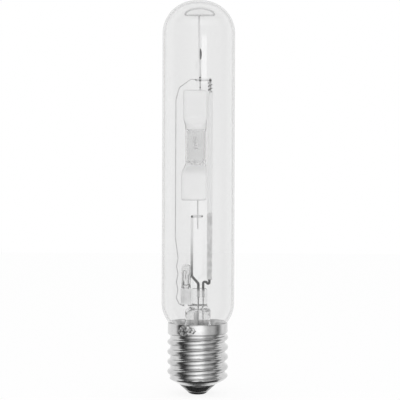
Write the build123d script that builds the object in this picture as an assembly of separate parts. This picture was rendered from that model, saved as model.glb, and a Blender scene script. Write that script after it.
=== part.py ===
"""Clear tubular metal halide discharge lamp with an E40 screw cap, in millimetres.

The origin is the middle of the centre contact's flat lower face. +Z runs up the lamp
to the dome, and -Y is the side that shows the solder spot on the cap's collar.
"""

from build123d import *

import os
from math import asin, cos, degrees, radians, sin, sqrt, tan

# Outer bulb
bulb_top = 254.0
bulb_radius = 23.5
bulb_wall = 1.0
crown_radius = 28.0
knuckle_radius = 21.0
shoulder_slope = 38.0
shoulder_radius = 20.0
neck_bend_radius = 8.0
shoulder_room_share = 0.98
neck_bottom = 26.0

# Screw cap
cap_wall = 0.45
cap_top = 46.0
collar_radius = 19.35
collar_foot = 40.0
groove_top = 38.8
thread_pitch = 6.35
thread_crest = 19.65
thread_root = 17.7
thread_first_crest = 11.3
thread_turns = 5.9
thread_run_in = 2.0
ridge_overlap = 0.5
root_lift = 0.06
cone_top = 9.6
mouth_height = 6.6
mouth_radius = 12.0
rim_gap = 0.1
neck_gap = 0.9
cement_above_foot = 0.2
cement_below_rim = 0.4

# Insulator and centre contact
insulator_bottom = 2.0
insulator_top = 13.0
insulator_foot_radius = 7.3
insulator_lip = 0.6
insulator_chamfer = 0.8
contact_radius = 6.7
contact_flat_radius = 3.6
contact_edge = 0.3
contact_hole_radius = 1.7
contact_funnel = 2.0
solder_recess = 0.15
solder_dome = 1.1

# Solder spot on the collar
solder_below_rim = 3.4
solder_spot_angle = -112.0
solder_spot_radius = 3.4
solder_spot_rise = 0.9
solder_drop_spacing = 2.6
solder_drop_lift = 0.45
outer_drop_share = 0.97
lead_hole_radius = 0.7
lead_hole_depth = 6.0

# Glass stem
stem_wall = 1.0
stem_radius = 8.2
stem_shoulder_top = 55.6
stem_shoulder_radius = 3.0
flare_start = 46.0
flare_waist_radius = 11.6
flare_waist = 38.0
flare_mouth_radius = 14.2
flare_bend = 8.0
flare_rim_height = 1.2
press_x = 1.15
press_width = 9.7
press_thickness = 4.8
press_top = 68.2
press_corner = 1.6
press_root_rise = 2.6
press_draft = 0.2
exhaust_radius = 1.7
exhaust_wall = 0.55
exhaust_bottom = 17.0
exhaust_x = -1.0
exhaust_y = 3.0

# Wires
weld_gap = 0.05
lead_joint_height = 62.0
lead_bend_height = 34.0
contact_lead_radius = 0.4
contact_lead_x = 0.3
contact_lead_low_bend = 24.0
contact_lead_bend = 6.0
shell_lead_radius = 0.3
shell_lead_x = 3.4
shell_lead_below_rim = 5.5
shell_lead_bend = 2.5
shell_lead_end_bend = 1.2
support_radius = 0.85
support_bend = 1.8
support_top_bend = 1.5
support_x = -4.0
support_bend_height = 76.0
support_rise = 3.0
support_top = 114.7
support_reach = 2.3
frame_radius = 0.8
frame_x = 7.45
frame_bend = 0.95
frame_above_bridge = 1.5
frame_hook_height = 69.3
frame_arch_height = 72.2

# Sleeves on the frame rod
sleeve_clearance = 0.2
quartz_sleeve_radius = 1.7
quartz_sleeve_below_tie = 1.1
braid_sleeve_radius = 1.75
braid_sleeve_top = 116.6
braid_sleeve_bottom = 73.6
sleeve_gap = 0.1

# Top mount
bridge_radius = 0.8
bridge_above_tube = 6.8
bridge_left = -1.9
bridge_overhang = 1.2
top_wire_radius = 0.65
top_wire_x = 0.85
ring_radius = 9.7
ring_wire_radius = 0.6
ring_x = 0.5
ring_below_dome = 9.2
ring_tilt = 13.0
ring_corner = 1.2
ring_bow_runs = 8
ring_bow_share = 0.9
tie_wire_radius = 0.35
tie_pitch = 2.3
tie_below_bridge = 7.3
tie_turns = 2.5

# Getter
getter_share = 0.39
getter_length = 7.0
getter_width = 4.2
getter_thickness = 1.3
getter_well_depth = 0.5
getter_rim = 0.6

# Arc tube
arc_x = -1.7
arc_radius = 6.75
arc_wall = 1.3
chamber_bottom = 146.4
chamber_top = 174.6
pinch_thickness = 4.6
pinch_corner = 1.5
pinch_length = 19.6
pinch_blend = 7.5
pinch_cover = 2.6
pinch_overlap = 3.0
loft_slack = 0.05
upper_pinch_x = -2.2
upper_pinch_width = 15.5
lower_pinch_x = -2.9
lower_pinch_width = 16.2
nib_radius = 1.5
nib_tip_radius = 0.5
nib_root = 0.4
nib_height = 2.2
nib_z = 160.0

# Electrodes, foils and arc leads
electrode_x = -2.4
electrode_radius = 0.5
electrode_overlap = 2.2
upper_tip = 160.8
lower_tip = 151.2
coil_wire_radius = 0.35
upper_coil_turns = 6.0
lower_coil_turns = 3.0
coil_setback = 1.5
foil_thickness = 0.12
foil_length = 12.0
foil_margin = 4.6
foil_side = 0.4
arc_lead_radius = 0.45
upper_lead_x = 0.97
upper_lead_above_bridge = 1.4
lower_lead_x = -0.3
lower_lead_bottom = 106.4
lead_overlap = 2.0

# Flying lead
flying_radius = 0.3
flying_x = -14.7
flying_bend = 1.6
flying_foot_drop = 0.9
flying_foot_reach = 2.6
flying_foot_rise = 1.2
flying_first_wave = 5.0
flying_wave_step = 5.1
flying_waves = 6
flying_wave_near = 1.8
flying_wave_far = 0.8
flying_straight_height = 101.0
flying_shoulder_drop = 13.0
flying_head_drop = 5.0
flying_head_reach = 2.2
flying_end_reach = 3.0
flying_end_rise = 0.6

# Starter
starter_x = -7.6
starter_y = -2.4
starter_radius = 3.05
starter_wall = 0.55
starter_top = 84.0
starter_round_bottom = 70.0
starter_pinch_top = 68.3
starter_pinch_bottom = 59.0
starter_pinch_thickness = 2.6
starter_pinch_corner = 0.9
starter_lead_radius = 0.3
starter_lead_spacing = 2.9
starter_lead_top = 72.6
starter_lead_tail = 0.4
starter_lead_drop = 1.2
starter_lead_into_press = 1.4
starter_lead_end_y = -0.6
starter_lead_bend = 0.8
bimetal_thickness = 0.3
bimetal_width = 1.8
bimetal_top = 79.6
bimetal_weld_length = 2.0
bimetal_gape = 0.9
bimetal_close = 0.4
bimetal_tip_above_lead = 1.5
bimetal_bend_radius = 0.8
starter_post_top = 77.0
ferrule_wall = 0.3
ferrule_gap = 0.1
ferrule_bottom = 57.9
ferrule_top = 68.0

# Sizes that follow from those above
solder_spot_height = cap_top - solder_below_rim
collar_bore = collar_radius - cap_wall
root_bore = thread_root + root_lift - cap_wall
neck_radius = root_bore - neck_gap
rim_bottom = neck_bottom - flare_rim_height
arc_y = -(foil_thickness / 2 + weld_gap / 2 + electrode_radius)
lead_y = -(foil_thickness / 2 + weld_gap / 2 + arc_lead_radius)
bridge_y = lead_y + arc_lead_radius + weld_gap + bridge_radius
frame_y = bridge_y + bridge_radius + weld_gap + frame_radius
lead_gap_radius = (neck_radius + root_bore) / 2
flying_foot = ferrule_bottom - flying_foot_drop
chamber_low = chamber_bottom + pinch_cover
chamber_high = chamber_top - pinch_cover
tube_bottom = chamber_low - pinch_blend - pinch_length + pinch_overlap
tube_top = chamber_high + pinch_blend + pinch_length - pinch_overlap
bridge_height = tube_top + bridge_above_tube
frame_top = bridge_height + frame_above_bridge
upper_lead_top = bridge_height + upper_lead_above_bridge
tie_bottom = bridge_height - tie_below_bridge
quartz_sleeve_top = tie_bottom - quartz_sleeve_below_tie
ring_height = bulb_top - ring_below_dome
upper_foil_bottom = chamber_top + foil_margin
upper_foil_top = upper_foil_bottom + foil_length
lower_foil_top = chamber_bottom - foil_margin
lower_foil_bottom = lower_foil_top - foil_length
starter_left_x = starter_x - starter_lead_spacing / 2
starter_right_x = starter_x + starter_lead_spacing / 2
coil_turn_radius = electrode_radius + weld_gap + coil_wire_radius
coil_pitch = 2 * coil_wire_radius + weld_gap


def upright(radius, bottom, top, x=0.0, y=0.0):
    """A round bar that stands between two heights."""
    bar = Cylinder(radius, top - bottom, align=(Align.CENTER, Align.CENTER, Align.MIN))
    return Pos(x, y, bottom) * bar


def turned(*outline):
    """A solid turned about the lamp's axis from (radius, height) points."""
    points = [(radius, 0, height) for radius, height in outline]
    return revolve(make_face(Polyline(*points, close=True)), Axis.Z)


def wire(radius, points, bends):
    """A round wire along straight runs that are joined by bends."""
    path = FilletPolyline(*points, radius=bends)
    section = Plane(origin=path @ 0, z_dir=path % 0) * Circle(radius)
    return sweep(section, path=path)


def straight_wire(radius, start, end):
    """A straight round wire between two points."""
    path = Line(start, end)
    section = Plane(origin=path @ 0, z_dir=path % 0) * Circle(radius)
    return sweep(section, path=path)


def coil(radius, turn_radius, pitch, turns, x, y, bottom):
    """A round wire wound about an upright axis."""
    path = Helix(pitch, pitch * turns, turn_radius, center=(x, y, bottom))
    section = Plane(origin=path @ 0, z_dir=path % 0) * Circle(radius)
    return sweep(section, path=path, is_frenet=True)


def bulb_form(inset):
    """The bulb's outline as a solid, smaller by the inset all round."""
    slope = radians(shoulder_slope)
    rise = inset * tan(slope / 2)
    radius = bulb_radius - inset
    crown = crown_radius - inset
    knuckle = knuckle_radius - inset
    crown_angle = degrees(asin((radius - knuckle) / (crown - knuckle)))
    rim_radius = collar_bore - rim_gap
    shoulder = cap_top + (bulb_radius - rim_radius) / tan(slope) + rise
    run = (bulb_radius - neck_radius) / sin(slope)
    neck_bend = neck_bend_radius + inset
    room = run - neck_bend * tan(slope / 2)
    shoulder_bend = min(shoulder_radius - inset, shoulder_room_share * room / tan(slope / 2))
    neck = shoulder - (bulb_radius - neck_radius) / tan(slope)
    crown_arc = JernArc((0, bulb_top - inset), (1, 0), crown, -crown_angle)
    knuckle_arc = JernArc(crown_arc @ 1, crown_arc % 1, knuckle, crown_angle - 90)
    side = FilletPolyline(
        knuckle_arc @ 1,
        (radius, shoulder),
        (neck_radius - inset, neck),
        (neck_radius - inset, neck_bottom - inset),
        radius=[shoulder_bend, neck_bend],
    )
    base = Polyline(side @ 1, (0, neck_bottom - inset), (0, bulb_top - inset))
    face = make_face([*crown_arc.edges(), *knuckle_arc.edges(), *side.edges(), *base.edges()])
    return revolve(Plane.XZ * face, Axis.Z)


def make_outer_bulb():
    """The clear outer bulb, open at its neck."""
    return bulb_form(0) - bulb_form(bulb_wall)


def thread_ridge(inset):
    """The rounded ridge that winds up the cap, from the cone to the collar."""
    root = thread_root - inset
    crest = thread_crest - inset
    half = thread_pitch / 2
    depth = crest - root
    bend = (half**2 + depth**2) / (4 * depth)
    foot = root + root_lift / 2
    foot_angle = asin(sqrt(bend**2 - (bend - root_lift / 2) ** 2) / bend)
    flank_angle = (foot_angle + asin(half / 2 / bend)) / 2
    foot_z = half - bend * sin(foot_angle)
    via_r = root + bend * (1 - cos(flank_angle))
    via_z = half - bend * sin(flank_angle)
    middle = (root + crest) / 2
    buried = foot - ridge_overlap
    start = thread_first_crest - thread_pitch

    def at(radius, height):
        return (radius, 0, start + height)

    outline = [
        Line(at(buried, -foot_z), at(foot, -foot_z)),
        ThreePointArc(at(foot, -foot_z), at(via_r, -via_z), at(middle, -half / 2)),
        ThreePointArc(at(middle, -half / 2), at(crest, 0), at(middle, half / 2)),
        ThreePointArc(at(middle, half / 2), at(via_r, via_z), at(foot, foot_z)),
        Polyline(at(foot, foot_z), at(buried, foot_z), at(buried, -foot_z)),
    ]
    face = make_face([edge for line in outline for edge in line.edges()])
    path = Helix(thread_pitch, thread_pitch * thread_turns, middle, center=(0, 0, start))
    ridge = sweep(face, path=path, is_frenet=True)
    inner = root + root_lift - ridge_overlap
    outer = crest + ridge_overlap
    envelope = turned(
        (0, cone_top),
        (inner, cone_top),
        (outer, cone_top + thread_run_in),
        (outer, groove_top),
        (collar_radius - inset, collar_foot + inset),
        (0, collar_foot + inset),
    )
    return ridge & envelope


def cap_form(inset):
    """The cap's outline as a solid, smaller by the inset all round."""
    core = thread_root + root_lift - inset
    collar = collar_radius - inset
    body = turned(
        (0, mouth_height + inset),
        (mouth_radius - inset, mouth_height + inset),
        (core, cone_top + inset),
        (core, groove_top + inset),
        (collar, collar_foot + inset),
        (collar, cap_top + inset),
        (0, cap_top + inset),
    )
    return body + thread_ridge(inset)


def make_lead_hole():
    """The small hole in the collar that the shell lead comes out of."""
    bore = Cylinder(lead_hole_radius, lead_hole_depth)
    place = Pos(collar_radius, 0, solder_spot_height) * Rot(0, 90, 0)
    return Rot(0, 0, solder_spot_angle) * place * bore


def make_cap_shell():
    """The thin screw shell with its rounded thread, collar and rolled-in mouth."""
    mouth = upright(mouth_radius - cap_wall, mouth_height - cap_wall, mouth_height + 2 * cap_wall)
    return cap_form(0) - cap_form(cap_wall) - mouth - make_lead_hole()


def make_cap_insulator():
    """The black glass that fills the cap's mouth and carries the centre contact."""
    mouth = mouth_radius - cap_wall
    return turned(
        (contact_hole_radius, insulator_bottom),
        (insulator_foot_radius, insulator_bottom),
        (mouth, mouth_height - insulator_lip),
        (mouth, mouth_height + cap_wall),
        (root_bore, cone_top + cap_wall),
        (root_bore, insulator_top - insulator_chamfer),
        (root_bore - insulator_chamfer, insulator_top),
        (contact_hole_radius + contact_funnel, insulator_top),
        (contact_hole_radius, insulator_top - contact_funnel),
    )


def make_centre_contact():
    """The centre contact, a shallow metal disc with a rounded edge and a solder hole."""
    rim = (contact_radius, insulator_bottom - contact_edge)
    edge = TangentArc((contact_flat_radius, 0), rim, tangent=(1, 0))
    rest = Polyline(
        rim,
        (contact_radius, insulator_bottom),
        (contact_hole_radius, insulator_bottom),
        (contact_hole_radius, 0),
        (contact_flat_radius, 0),
    )
    return revolve(Plane.XZ * make_face([*edge.edges(), *rest.edges()]), Axis.Z)


def make_contact_solder(lead):
    """The solder that fills the contact's hole round the end of the lead."""
    plug = upright(contact_hole_radius, solder_recess, insulator_bottom + solder_dome)
    return plug - lead


def make_side_solder(shell, lead):
    """The solder spot on the collar, three drops that have run together."""
    drop_radius = (solder_spot_radius**2 + solder_spot_rise**2) / (2 * solder_spot_rise)
    middle = collar_radius + solder_spot_rise - drop_radius
    turn = degrees(solder_drop_spacing / collar_radius)
    spot = Part()
    for side, share in ((-1, outer_drop_share), (0, 1.0), (1, outer_drop_share)):
        drop = Pos(middle, 0, solder_spot_height + side * solder_drop_lift)
        spot += Rot(0, 0, solder_spot_angle + side * turn) * drop * Sphere(drop_radius * share)
    seat = upright(collar_radius, solder_spot_height - drop_radius, solder_spot_height + drop_radius)
    outside = (spot - seat - shell).solids()
    return max(outside, key=lambda piece: piece.volume) - lead


def make_cap_cement(lead):
    """The ring of cement between the collar and the bulb's neck."""
    bottom = collar_foot + cap_wall + cement_above_foot
    ring = upright(collar_bore, bottom, cap_top - cement_below_rim)
    return ring - bulb_form(0) - lead


def flare_form(inset):
    """The stem's round tube and bell as a solid, smaller by the inset all round."""
    top = stem_shoulder_top - 2 * inset
    side = FilletPolyline(
        (0, top),
        (stem_radius - inset, top),
        (stem_radius - inset, flare_start),
        (flare_waist_radius - inset, flare_waist),
        (flare_mouth_radius - inset, rim_bottom - inset),
        radius=[stem_shoulder_radius - inset, flare_bend, flare_bend],
    )
    base = Polyline(side @ 1, (0, rim_bottom - inset), (0, top))
    return revolve(Plane.XZ * make_face([*side.edges(), *base.edges()]), Axis.Z)


def stem_flare():
    """The stem's tube and bell mouth, with the rim that is sealed to the neck."""
    rim = upright(neck_radius, rim_bottom, neck_bottom)
    return flare_form(0) + rim - flare_form(stem_wall)


def make_glass_stem(embedded):
    """The stem: bell-mouthed tube and flat press, moulded round the wires."""
    section = RectangleRounded(press_width, press_thickness, press_corner)
    height = press_top - stem_shoulder_top
    press = Pos(press_x, 0, stem_shoulder_top) * extrude(section, height)
    foot = Pos(0, 0, stem_shoulder_top - stem_wall) * RectangleRounded(
        2 * (stem_radius - stem_shoulder_radius), 2 * stem_radius - 3 * stem_shoulder_radius, press_corner
    )
    head = Pos(press_x, 0, stem_shoulder_top + press_root_rise) * RectangleRounded(
        press_width - press_draft, press_thickness - press_draft, press_corner - press_draft / 2
    )
    stem = stem_flare() + press + loft([foot, head])
    for piece in embedded:
        stem = stem - piece
    return stem


def make_exhaust_tube():
    """The exhaust tube, with its sealed and rounded tip."""
    top = stem_shoulder_top - 2 * stem_wall
    outside = upright(exhaust_radius, exhaust_bottom + exhaust_radius, top, exhaust_x, exhaust_y)
    outside += Pos(exhaust_x, exhaust_y, exhaust_bottom + exhaust_radius) * Sphere(exhaust_radius)
    bore = exhaust_radius - exhaust_wall
    inside = upright(bore, exhaust_bottom + 2 * exhaust_radius, top, exhaust_x, exhaust_y)
    return outside - inside


def make_contact_lead():
    """The lead from the press down to the centre contact."""
    points = [
        (contact_lead_x, 0, lead_joint_height),
        (contact_lead_x, 0, lead_bend_height),
        (0, 0, contact_lead_low_bend),
        (0, 0, 2 * solder_recess),
    ]
    return wire(contact_lead_radius, points, contact_lead_bend)


def make_shell_lead():
    """The lead from the press, under the bell's rim and up to the hole in the collar."""
    turn = radians(solder_spot_angle)

    def out(radius, height):
        return (radius * cos(turn), radius * sin(turn), height)

    below_rim = rim_bottom - shell_lead_below_rim
    points = [
        (shell_lead_x, 0, lead_joint_height),
        (shell_lead_x, 0, lead_bend_height),
        out(lead_gap_radius, below_rim),
        out(lead_gap_radius, solder_spot_height),
        out(collar_radius + shell_lead_radius, solder_spot_height),
    ]
    bends = [2 * shell_lead_bend, shell_lead_bend, shell_lead_end_bend]
    return wire(shell_lead_radius, points, bends)


def make_short_support():
    """The short wire that holds the arc tube's lower lead."""
    points = [
        (contact_lead_x, 0, lead_joint_height),
        (contact_lead_x, 0, press_top + support_rise),
        (support_x, 0, support_bend_height),
        (support_x, 0, support_top),
        (support_reach, 0, support_top),
    ]
    return wire(support_radius, points, [support_bend, support_bend, support_top_bend])


def make_frame_rod():
    """The long frame rod, hooked over at its foot into the press."""
    points = [
        (shell_lead_x, 0, lead_joint_height),
        (shell_lead_x, 0, frame_arch_height),
        ((shell_lead_x + frame_x) / 2, frame_y / 2, frame_arch_height),
        (frame_x, frame_y, frame_hook_height),
        (frame_x, frame_y, frame_top),
    ]
    return wire(frame_radius, points, frame_bend)


def make_sleeve(radius, bottom, top):
    """A sleeve that slides on the frame rod."""
    bore = frame_radius + sleeve_clearance
    outside = upright(radius, bottom, top, frame_x, frame_y)
    return outside - upright(bore, bottom, top, frame_x, frame_y)


def make_rod_tie():
    """The few turns of wire that keep the quartz sleeve down."""
    turn_radius = frame_radius + weld_gap + tie_wire_radius
    return coil(tie_wire_radius, turn_radius, tie_pitch, tie_turns, frame_x, frame_y, tie_bottom)


def make_top_bridge():
    """The cross wire that joins the frame rod, the upper lead and the top wire."""
    length = frame_x + bridge_overhang - bridge_left
    bar = Cylinder(bridge_radius, length, align=(Align.CENTER, Align.CENTER, Align.MIN))
    return Pos(bridge_left, bridge_y, bridge_height) * Rot(0, 90, 0) * bar


def top_wire_ends():
    """The top wire's ends, on the bridge and under the middle of the dome ring's bar."""
    foot = Vector(top_wire_x, bridge_y, bridge_height + bridge_radius + weld_gap)
    head = Vector(0, 0, ring_height - ring_wire_radius - weld_gap)
    return foot, head


def make_top_wire():
    """The wire that runs up from the bridge to the dome ring."""
    return straight_wire(top_wire_radius, *top_wire_ends())


def make_dome_ring():
    """The D-shaped ring that steadies the mount in the dome, bent from one wire.

    Its ends meet in the middle of the straight side, over the top wire.
    """
    turn = radians(180 / ring_bow_runs)
    bow = [
        (ring_radius * cos(turn * run), -ring_radius * sin(turn * run), 0)
        for run in range(ring_bow_runs + 1)
    ]
    points = [(weld_gap / 2, 0, 0), *bow, (-weld_gap / 2, 0, 0)]
    bends = [ring_bow_share * ring_radius] * len(bow)
    bends[0] = bends[-1] = ring_corner
    ring = wire(ring_wire_radius, points, bends)
    return Pos(ring_x, 0, ring_height) * Rot(-ring_tilt, 0, 0) * ring


def make_getter():
    """The getter, a small dished strip welded to the top wire."""
    slot = SlotOverall(getter_length, getter_width)
    inner = SlotOverall(getter_length - 2 * getter_rim, getter_width - 2 * getter_rim)
    body = extrude(slot, getter_thickness / 2, both=True)
    well = Pos(0, 0, getter_thickness / 2 - getter_well_depth) * extrude(inner, getter_thickness)
    foot, head = top_wire_ends()
    weld = foot + (head - foot) * getter_share
    aside = top_wire_radius + weld_gap + getter_thickness / 2
    lean = (foot.X - head.X) / (head.Z - foot.Z) * getter_length / 2
    return Pos(weld.X + aside + lean, weld.Y, weld.Z) * Rot(0, 90, 0) * (body - well)


def pinch(width, x, inner, outer):
    """One flat pinch seal and its blend into the round chamber."""
    away = 1 if outer > inner else -1
    slab = extrude(RectangleRounded(width, pinch_thickness, pinch_corner), pinch_length)
    start = outer - pinch_length if away > 0 else outer
    flat = Pos(x, 0, start) * slab
    round_side = 2 * arc_radius
    round_end = Pos(arc_x, 0, inner) * RectangleRounded(
        round_side, round_side, arc_radius - loft_slack
    )
    flat_end = Pos(x, 0, inner + away * pinch_blend) * RectangleRounded(
        width, pinch_thickness, pinch_corner
    )
    return flat + loft([round_end, flat_end])


def make_arc_tube(embedded):
    """The fused silica arc tube, pinched flat on the foils at both ends."""
    tube = upright(arc_radius, chamber_low, chamber_high, arc_x)
    tube += pinch(upper_pinch_width, upper_pinch_x, chamber_high, tube_top)
    tube += pinch(lower_pinch_width, lower_pinch_x, chamber_low, tube_bottom)
    nib = Cone(nib_radius, nib_tip_radius, nib_height, align=(Align.CENTER, Align.CENTER, Align.MIN))
    tube += Pos(arc_x, arc_radius - nib_root, nib_z) * Rot(-90, 0, 0) * nib
    bore = arc_radius - arc_wall
    tube -= upright(bore, chamber_bottom + bore, chamber_top - bore, arc_x)
    tube -= Pos(arc_x, 0, chamber_bottom + bore) * Sphere(bore)
    tube -= Pos(arc_x, 0, chamber_top - bore) * Sphere(bore)
    for piece in embedded:
        tube = tube - piece
    return tube


def foil(x_low, x_high, bottom):
    """A thin sealing foil in a pinch."""
    width = x_high - x_low
    sheet = Box(width, foil_thickness, foil_length, align=(Align.MIN, Align.CENTER, Align.MIN))
    return Pos(x_low, 0, bottom) * sheet


def make_upper_foil():
    """The foil in the upper pinch."""
    low = electrode_x - electrode_radius - foil_side
    high = upper_lead_x + arc_lead_radius + foil_side
    return foil(low, high, upper_foil_bottom)


def make_lower_foil():
    """The foil in the lower pinch."""
    low = electrode_x - electrode_radius - foil_side
    high = lower_lead_x + arc_lead_radius + foil_side
    return foil(low, high, lower_foil_bottom)


def make_upper_electrode_coil():
    """The close winding above the upper electrode's tip."""
    return coil(
        coil_wire_radius, coil_turn_radius, coil_pitch, upper_coil_turns, electrode_x, arc_y,
        upper_tip + coil_setback,
    )


def make_lower_electrode_coil():
    """The close winding below the lower electrode's tip."""
    bottom = lower_tip - coil_setback - coil_pitch * lower_coil_turns
    return coil(
        coil_wire_radius, coil_turn_radius, coil_pitch, lower_coil_turns, electrode_x, arc_y, bottom
    )


def make_flying_lead(left_lead_foot):
    """The thin wire that runs up beside the arc tube, clear of its heat, wavy near its foot."""
    points = [
        left_lead_foot,
        (flying_x + flying_foot_reach, starter_y, flying_foot + flying_foot_rise),
    ]
    for wave in range(flying_waves):
        out = flying_wave_near if wave % 2 else flying_wave_far
        y = starter_y * (1 - (wave + 1) / flying_waves)
        height = flying_foot + flying_first_wave + wave * flying_wave_step
        points.append((flying_x + out, y, height))
    points += [
        (flying_x, 0, flying_straight_height),
        (flying_x, 0, bridge_height - flying_shoulder_drop),
        (flying_x + flying_head_reach, bridge_y / 2, bridge_height - flying_head_drop),
        (bridge_left - flying_end_reach, bridge_y, bridge_height + flying_end_rise),
        (bridge_left - weld_gap, bridge_y, bridge_height),
    ]
    return wire(flying_radius, points, flying_bend)


def make_starter_glass(embedded):
    """The starter's small glass capsule, with its own pinch seal."""
    body = upright(starter_radius, starter_round_bottom, starter_top - starter_radius)
    body += Pos(0, 0, starter_top - starter_radius) * Sphere(starter_radius)
    side = 2 * starter_radius
    round_end = Pos(0, 0, starter_round_bottom) * RectangleRounded(
        side, side, starter_radius - loft_slack
    )
    flat = RectangleRounded(side, starter_pinch_thickness, starter_pinch_corner)
    body += loft([Pos(0, 0, starter_pinch_top) * flat, round_end])
    body += Pos(0, 0, starter_pinch_bottom) * extrude(flat, starter_pinch_top - starter_pinch_bottom)
    bore = starter_radius - starter_wall
    body -= upright(bore, starter_round_bottom, starter_top - starter_radius)
    body -= Pos(0, 0, starter_top - starter_radius) * Sphere(bore)
    glass = Pos(starter_x, starter_y, 0) * body
    for piece in embedded:
        glass = glass - piece
    return glass


def make_starter_ferrule():
    """The sheet metal band round the capsule's pinch."""
    inner_x = 2 * (starter_radius + ferrule_gap)
    inner_y = starter_pinch_thickness + 2 * ferrule_gap
    wall = 2 * ferrule_wall
    height = ferrule_top - ferrule_bottom
    outline = RectangleRounded(inner_x + wall, inner_y + wall, starter_pinch_corner + ferrule_wall)
    outside = extrude(outline, height)
    inside = extrude(RectangleRounded(inner_x, inner_y, starter_pinch_corner), height)
    return Pos(starter_x, starter_y, ferrule_bottom) * (outside - inside)


def make_starter_left_lead():
    """The capsule's left lead, which carries the bimetal strip."""
    bottom = flying_foot - starter_lead_tail
    return upright(starter_lead_radius, bottom, starter_lead_top, starter_left_x, starter_y)


def make_starter_right_lead():
    """The capsule's right lead and post, bent at its foot into the press."""
    press_side = press_x - press_width / 2
    points = [
        (starter_right_x, starter_y, starter_post_top),
        (starter_right_x, starter_y, ferrule_bottom - starter_lead_drop),
        (press_side + starter_lead_into_press, starter_lead_end_y, ferrule_bottom),
    ]
    return wire(starter_lead_radius, points, starter_lead_bend)


def make_starter_bimetal():
    """The bimetal strip, bent over in a narrow U above the left lead."""
    aside = starter_lead_radius + weld_gap + bimetal_thickness / 2
    left = starter_left_x - aside
    right = starter_left_x + aside + bimetal_gape
    points = [
        (left, starter_lead_top - bimetal_weld_length),
        (left, bimetal_top),
        (right, bimetal_top),
        (right - bimetal_close, starter_lead_top + bimetal_tip_above_lead),
    ]
    path = FilletPolyline(*points, radius=bimetal_bend_radius)
    strip = Plane.XZ * trace(path, bimetal_thickness)
    return Pos(0, starter_y, 0) * extrude(strip, bimetal_width / 2, both=True)


def build_nodes():
    """Every piece of the lamp, by its node's name."""
    cap_shell = make_cap_shell()
    contact_lead = make_contact_lead()
    shell_lead = make_shell_lead()
    short_support = make_short_support()
    frame_rod = make_frame_rod()
    left_lead = make_starter_left_lead()
    right_lead = make_starter_right_lead()
    upper_foil = make_upper_foil()
    lower_foil = make_lower_foil()
    upper_electrode = upright(
        electrode_radius, upper_tip, upper_foil_bottom + electrode_overlap, electrode_x, arc_y
    )
    lower_electrode = upright(
        electrode_radius, lower_foil_top - electrode_overlap, lower_tip, electrode_x, arc_y
    )
    upper_lead = upright(
        arc_lead_radius, upper_foil_top - lead_overlap, upper_lead_top, upper_lead_x, lead_y
    )
    lower_lead = upright(
        arc_lead_radius, lower_lead_bottom, lower_foil_bottom + lead_overlap, lower_lead_x,
        -(support_radius + weld_gap + arc_lead_radius),
    )
    sealed = [upper_foil, lower_foil, upper_electrode, lower_electrode, upper_lead, lower_lead]
    left_foot = (starter_left_x - starter_lead_radius - weld_gap, starter_y, flying_foot)
    return {
        "outer_bulb": make_outer_bulb(),
        "cap_shell": cap_shell,
        "cap_insulator": make_cap_insulator(),
        "centre_contact": make_centre_contact(),
        "contact_solder": make_contact_solder(contact_lead),
        "side_solder": make_side_solder(cap_shell, shell_lead),
        "cap_cement": make_cap_cement(shell_lead),
        "glass_stem": make_glass_stem(
            [contact_lead, shell_lead, short_support, frame_rod, right_lead]
        ),
        "exhaust_tube": make_exhaust_tube(),
        "contact_lead": contact_lead,
        "shell_lead": shell_lead,
        "short_support_wire": short_support,
        "frame_rod": frame_rod,
        "quartz_sleeve": make_sleeve(
            quartz_sleeve_radius, braid_sleeve_top + sleeve_gap, quartz_sleeve_top
        ),
        "braided_sleeve": make_sleeve(
            braid_sleeve_radius, braid_sleeve_bottom, braid_sleeve_top
        ),
        "rod_tie": make_rod_tie(),
        "top_bridge": make_top_bridge(),
        "top_wire": make_top_wire(),
        "dome_ring": make_dome_ring(),
        "getter": make_getter(),
        "arc_tube": make_arc_tube(sealed),
        "upper_foil": upper_foil,
        "lower_foil": lower_foil,
        "upper_electrode": upper_electrode,
        "lower_electrode": lower_electrode,
        "upper_electrode_coil": make_upper_electrode_coil(),
        "lower_electrode_coil": make_lower_electrode_coil(),
        "upper_arc_lead": upper_lead,
        "lower_arc_lead": lower_lead,
        "flying_lead": make_flying_lead(left_foot),
        "starter_glass": make_starter_glass([left_lead, right_lead]),
        "starter_ferrule": make_starter_ferrule(),
        "starter_left_lead": left_lead,
        "starter_right_lead": right_lead,
        "starter_bimetal": make_starter_bimetal(),
    }


os.makedirs("parts", exist_ok=True)
for name, piece in build_nodes().items():
    export_step(piece, f"parts/{name}.step")
    print(name, round(piece.volume, 2), piece.is_valid)
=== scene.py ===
"""A clear tubular discharge lamp with a screw cap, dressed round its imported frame."""

import logging
import math
from dataclasses import astuple, dataclass, field
from enum import Enum
from typing import ClassVar, Dict, List, Optional, Sequence, Tuple, Union

import bmesh
import bpy
from mathutils import Matrix, Vector, noise


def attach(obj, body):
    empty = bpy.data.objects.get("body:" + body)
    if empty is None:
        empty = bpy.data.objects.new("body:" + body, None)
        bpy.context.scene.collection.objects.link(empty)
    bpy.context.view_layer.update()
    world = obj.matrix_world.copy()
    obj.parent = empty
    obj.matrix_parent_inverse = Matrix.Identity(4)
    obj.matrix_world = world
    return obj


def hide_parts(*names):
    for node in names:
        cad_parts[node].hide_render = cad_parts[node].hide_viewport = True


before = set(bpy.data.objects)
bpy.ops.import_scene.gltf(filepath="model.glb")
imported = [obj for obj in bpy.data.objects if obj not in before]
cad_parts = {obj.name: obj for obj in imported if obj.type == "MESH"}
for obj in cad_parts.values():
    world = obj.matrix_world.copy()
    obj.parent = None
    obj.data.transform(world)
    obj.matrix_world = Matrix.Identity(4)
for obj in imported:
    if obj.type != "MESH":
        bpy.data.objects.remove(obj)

LOG = logging.getLogger("lamp")
MM = 0.001
BODY = "root"
WHITE = (1.0, 1.0, 1.0, 1.0)
# The squareness of a ring that is a circle.
ROUND = 2.0
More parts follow.
